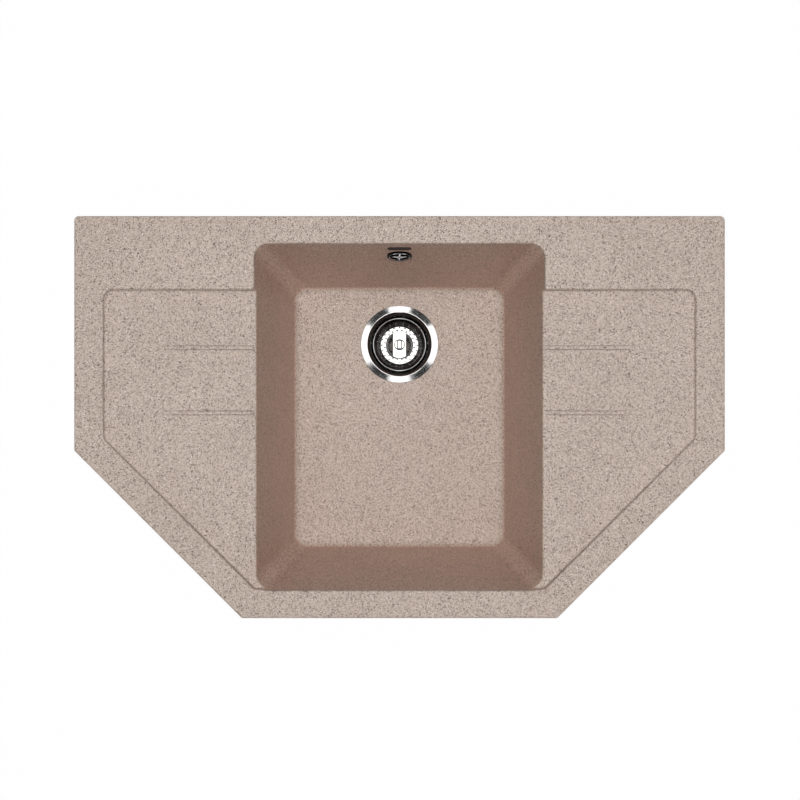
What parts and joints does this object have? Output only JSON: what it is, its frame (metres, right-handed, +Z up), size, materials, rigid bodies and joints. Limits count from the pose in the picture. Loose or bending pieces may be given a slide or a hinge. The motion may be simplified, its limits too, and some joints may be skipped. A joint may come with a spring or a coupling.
{
  "type": "corner kitchen sink",
  "caption": "Corner kitchen sink in speckled stone composite: one deep bowl with a basket waste and overflow between two recessed drainer wings, for dropping into a worktop.",
  "frame": {"origin": "middle of the sink outline, on the plane of the worktop top that the rim rests on", "axes": "+X to the right along the straight back edge, +Y to the back edge, +Z up out of the worktop"},
  "size_m": [0.825, 0.51, 0.291],
  "materials": {
    "composite": "matt speckled stone composite",
    "foam_tape": "closed cell sealing tape",
    "grey_plate": "dark satin blank plate",
    "polished_steel": "polished stainless steel",
    "black_rubber": "black soft rubber",
    "waste_plastic": "white moulded polypropylene",
    "satin_steel": "satin pressed stainless steel",
    "brass": "turned and knurled brass",
    "chrome_plate": "chrome plated plastic",
    "pipe_plastic": "grey moulded polypropylene",
    "nut_plastic": "black moulded union nuts",
    "zinc_bolts": "zinc plated thread",
    "zinc_steel": "zinc plated pressed steel"
  },
  "bodies": {
    "sink": {"sink_body": "composite", "seal_tape": "foam_tape", "blank_plate": "grey_plate", "strainer_cup": "polished_steel", "flange_gasket": "black_rubber", "body_gasket": "black_rubber", "waste_body": "waste_plastic", "centre_bolt": "satin_steel", "bolt_insert": "brass", "overflow_rosette": "chrome_plate", "overflow_screw": "satin_steel", "overflow_gasket": "black_rubber", "overflow_elbow": "waste_plastic", "overflow_elbow_insert": "brass", "overflow_pipe": "pipe_plastic", "upper_union_nut": "nut_plastic", "upper_union_seal": "black_rubber", "lower_union_nut": "nut_plastic", "lower_union_seal": "black_rubber", "clamp_inserts": "brass", "clamp_studs": "zinc_bolts"},
    "basket": {"basket": "satin_steel", "basket_knob": "polished_steel", "basket_stem": "satin_steel", "basket_seal": "black_rubber", "stem_washer": "satin_steel", "stem_nut": "brass"},
    "clamp_nut_1": {"clamp_nut_1": "zinc_steel"},
    "clamp_arm_1": {"clamp_arm_1": "zinc_steel"},
    "clamp_nut_2": {"clamp_nut_2": "zinc_steel"},
    "clamp_arm_2": {"clamp_arm_2": "zinc_steel"},
    "clamp_nut_3": {"clamp_nut_3": "zinc_steel"},
    "clamp_arm_3": {"clamp_arm_3": "zinc_steel"},
    "clamp_nut_4": {"clamp_nut_4": "zinc_steel"},
    "clamp_arm_4": {"clamp_arm_4": "zinc_steel"},
    "clamp_nut_5": {"clamp_nut_5": "zinc_steel"},
    "clamp_arm_5": {"clamp_arm_5": "zinc_steel"},
    "clamp_nut_6": {"clamp_nut_6": "zinc_steel"},
    "clamp_arm_6": {"clamp_arm_6": "zinc_steel"}
  },
  "joints": [
    {"name": "basket_lift", "type": "slide", "parent": "sink", "child": "basket", "axis": [0, 0, 1], "range_m": [0, 0.27]},
    {"name": "clamp_1_tighten", "type": "slide", "parent": "sink", "child": "clamp_nut_1", "axis": [0, 0, 1], "range_m": [0, 0.027]},
    {"name": "clamp_1_turn", "type": "hinge", "parent": "clamp_nut_1", "child": "clamp_arm_1", "pos_m": [-0.33, 0.215, -0.065], "axis": [0, 0, -1], "range_deg": [0, 90]},
    {"name": "clamp_2_tighten", "type": "slide", "parent": "sink", "child": "clamp_nut_2", "axis": [0, 0, 1], "range_m": [0, 0.027]},
    {"name": "clamp_2_turn", "type": "hinge", "parent": "clamp_nut_2", "child": "clamp_arm_2", "pos_m": [0.33, 0.215, -0.065], "axis": [0, 0, 1], "range_deg": [0, 90]},
    {"name": "clamp_3_tighten", "type": "slide", "parent": "sink", "child": "clamp_nut_3", "axis": [0, 0, 1], "range_m": [0, 0.027]},
    {"name": "clamp_3_turn", "type": "hinge", "parent": "clamp_nut_3", "child": "clamp_arm_3", "pos_m": [0.3725, 0.06, -0.065], "axis": [0, 0, 1], "range_deg": [0, 90]},
    {"name": "clamp_4_tighten", "type": "slide", "parent": "sink", "child": "clamp_nut_4", "axis": [0, 0, 1], "range_m": [0, 0.027]},
    {"name": "clamp_4_turn", "type": "hinge", "parent": "clamp_nut_4", "child": "clamp_arm_4", "pos_m": [0.27089, -0.12754, -0.065], "axis": [0, 0, 1], "range_deg": [0, 90]},
    {"name": "clamp_5_tighten", "type": "slide", "parent": "sink", "child": "clamp_nut_5", "axis": [0, 0, 1], "range_m": [0, 0.027]},
    {"name": "clamp_5_turn", "type": "hinge", "parent": "clamp_nut_5", "child": "clamp_arm_5", "pos_m": [-0.27089, -0.12754, -0.065], "axis": [0, 0, -1], "range_deg": [0, 90]},
    {"name": "clamp_6_tighten", "type": "slide", "parent": "sink", "child": "clamp_nut_6", "axis": [0, 0, 1], "range_m": [0, 0.027]},
    {"name": "clamp_6_turn", "type": "hinge", "parent": "clamp_nut_6", "child": "clamp_arm_6", "pos_m": [-0.3725, 0.06, -0.065], "axis": [0, 0, -1], "range_deg": [0, 90]}
  ]
}
